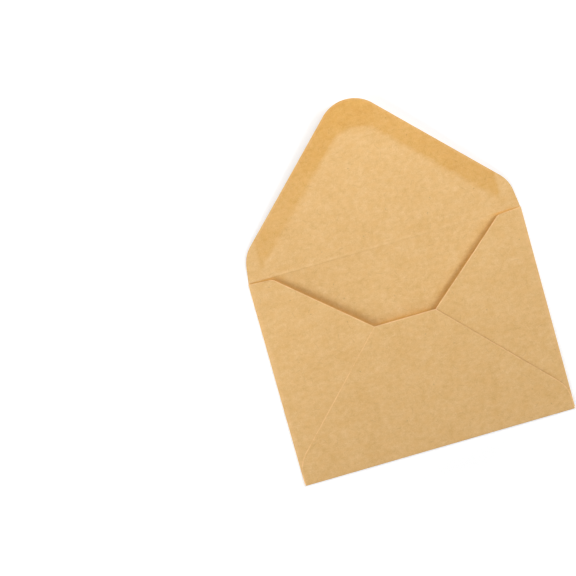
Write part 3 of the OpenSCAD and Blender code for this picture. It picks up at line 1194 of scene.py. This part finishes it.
seam_glue, tree, out = new_material("dried_white_seam_glue")
place = add(tree, "TexCoord").outputs["Object"]
streaks = add(tree, "Mapping", {0: place, "Scale": (1000, 1000, 1000)}).outputs[0]
streaky = noise(tree, streaks, GLUE_STREAK)
colour = blend(tree, streaky, linear("#E6D9B6"), linear("#F4ECD6"))
shader = add(tree, "BsdfPrincipled", {"Base Color": colour, "Roughness": 0.6, "IOR": 1.46})
tree.links.new(shader.outputs[0], out.inputs[0])
for name in ("left_seam_glue", "right_seam_glue"):
    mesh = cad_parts[name].data
    mesh.materials.clear()
    mesh.materials.append(seam_glue)
print("seam glue on both glue lines")

# %% [markdown]
# ## Finishing
# Both pieces have their materials, so they get their thickness now. Then each is tied
# to the solid that it stands for. The glue lines need nothing, because they are the
# solids themselves.

# %% Finish the two pieces
thicken(sheet, PAPER_T, rim=1)
thicken(gum, GUM_T)

# Gum and cover are on one side of the paper. Solidify gave their numbers to both sides.
for name in ("gum_depth", "cover"):
    numbers = sheet.data.attributes[name].data
    for vertex, number in zip(sheet.data.vertices, numbers):
        if vertex.normal.z < 0:
            number.value = OPEN_AIR

# %% Tie them to the solid model
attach(sheet, "root")
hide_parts("folded_paper_sheet")
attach(gum, "root")
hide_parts("flap_gum_strip")
print(f"{sheet.name} and {gum.name} take the places of their solids")

# %% [markdown]
# ## Table, light and camera
# The envelope lies on a white table. A camera ray sees the table brighter than its
# light makes it, so it turns white. Near the envelope it is lifted less, which keeps
# the envelope's faint shadow. Two soft lamps, one low on the left and a stronger one on
# the right, draw the shadows along the mouth. A small lamp above the flap, one far off
# near the viewer and a dim sky fill in. The camera's place and lens were fitted to the
# four corners of the pocket in the photograph.

# %% White table and sky
TABLE_REACH = 3
TABLE_GAP = 0.00005
ENVELOPE_MIDDLE = (0, 0.04, 0)
# How far the table is lifted near the envelope, and how much more further away.
LIFT_NEAR, LIFT_MORE = 0.33, 0.67
LIFT_GROWS_FROM, LIFT_GROWS_OVER = 0.11, 0.2
SKY = 0.01


def seen_white(tree):
    """1 for a ray of the camera, or one that a shiny or clear surface sends on."""
    rays = add(tree, "LightPath").outputs
    seen = math_node(tree, "MAXIMUM", rays["Is Camera Ray"], rays["Is Glossy Ray"])
    return math_node(tree, "MAXIMUM", seen, rays["Is Transmission Ray"])


table = rectangle("white_table", -TABLE_REACH, TABLE_REACH, -TABLE_REACH, TABLE_REACH)
for vertex in table.data.vertices:
    vertex.co.z = -TABLE_GAP
table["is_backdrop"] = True

table_white, tree, out = new_material("matt_white_table")
place = add(tree, "TexCoord").outputs["Object"]
away = add(tree, "VectorMath", {0: place, 1: ENVELOPE_MIDDLE}, operation="DISTANCE")
away = math_node(tree, "SUBTRACT", away.outputs["Value"], LIFT_GROWS_FROM)
away = math_node(tree, "DIVIDE", away, LIFT_GROWS_OVER, clamp=True)
whiter = math_node(tree, "ADD", math_node(tree, "MULTIPLY", away, LIFT_MORE), LIFT_NEAR)
whiter = math_node(tree, "MULTIPLY", whiter, seen_white(tree))
matt = add(tree, "BsdfDiffuse", {"Color": linear("#E7E7E7")})
lift = add(tree, "Emission", {"Color": linear("#FFFFFF"), "Strength": whiter})
both = add(tree, "AddShader", {0: matt.outputs[0], 1: lift.outputs[0]})
tree.links.new(both.outputs[0], out.inputs[0])
table.data.materials.append(table_white)

world = bpy.data.worlds.new("white_studio")
bpy.context.scene.world = world
world.use_nodes = True
tree = world.node_tree
tree.nodes.clear()
seen = math_node(tree, "MULTIPLY", seen_white(tree), 1 - SKY)
strength = math_node(tree, "ADD", seen, SKY)
sky = add(tree, "Background", {"Color": linear("#FFFFFF"), "Strength": strength})
tree.links.new(sky.outputs[0], tree.nodes.new("ShaderNodeOutputWorld").inputs[0])
print(f"table {1000 * TABLE_GAP:.2f} mm below the envelope, sky at {SKY:.0%} of white")

# %% Lamps
LAMPS_AIM = Vector((0, 0.05, 0))


def lamp(name, place, size, watts):
    """A round softbox that the camera doesn't see, turned to the envelope."""
    light = bpy.data.lights.new(name, "AREA")
    light.shape = "DISK"
    light.size = size
    light.energy = watts
    holder = bpy.data.objects.new(name, light)
    bpy.context.scene.collection.objects.link(holder)
    holder.location = place
    holder.rotation_euler = (LAMPS_AIM - Vector(place)).to_track_quat("-Z", "Y").to_euler()
    holder.visible_camera = False


lamp("left_softbox", (-0.6, 0.05, 0.28), size=0.5, watts=3.4)
lamp("right_softbox", (0.8, 0.2, 0.6), size=0.65, watts=6.5)
lamp("top_softbox", (0.05, 0.25, 0.25), size=0.25, watts=0.42)
lamp("near_softbox", (-0.3, -1.6, 1.2), size=0.8, watts=5.5)

# %% Camera
camera = bpy.data.objects.new("camera", bpy.data.cameras.new("camera"))
bpy.context.scene.collection.objects.link(camera)
camera.location = (-0.1257, 0.5633, 2.5312)
camera.rotation_euler = [math.radians(a) for a in (-10.654, -4.671, -15.465)]
camera.data.sensor_width = 36
camera.data.lens = 313.99
camera.data.clip_end = 50
bpy.context.scene.camera = camera
bpy.context.scene.view_settings.view_transform = "Standard"
print(f"camera {camera.location.length:.2f} m away, with a lens of {camera.data.lens:.0f} mm")

# %% Print the sizes of the solids and of the drawn pieces
seen_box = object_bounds()
for name, (low, high) in (("solids", cad_box), ("visual", seen_box)):
    print(name, [f"{1000 * c:.2f}" for c in (*low, *high)], "mm")
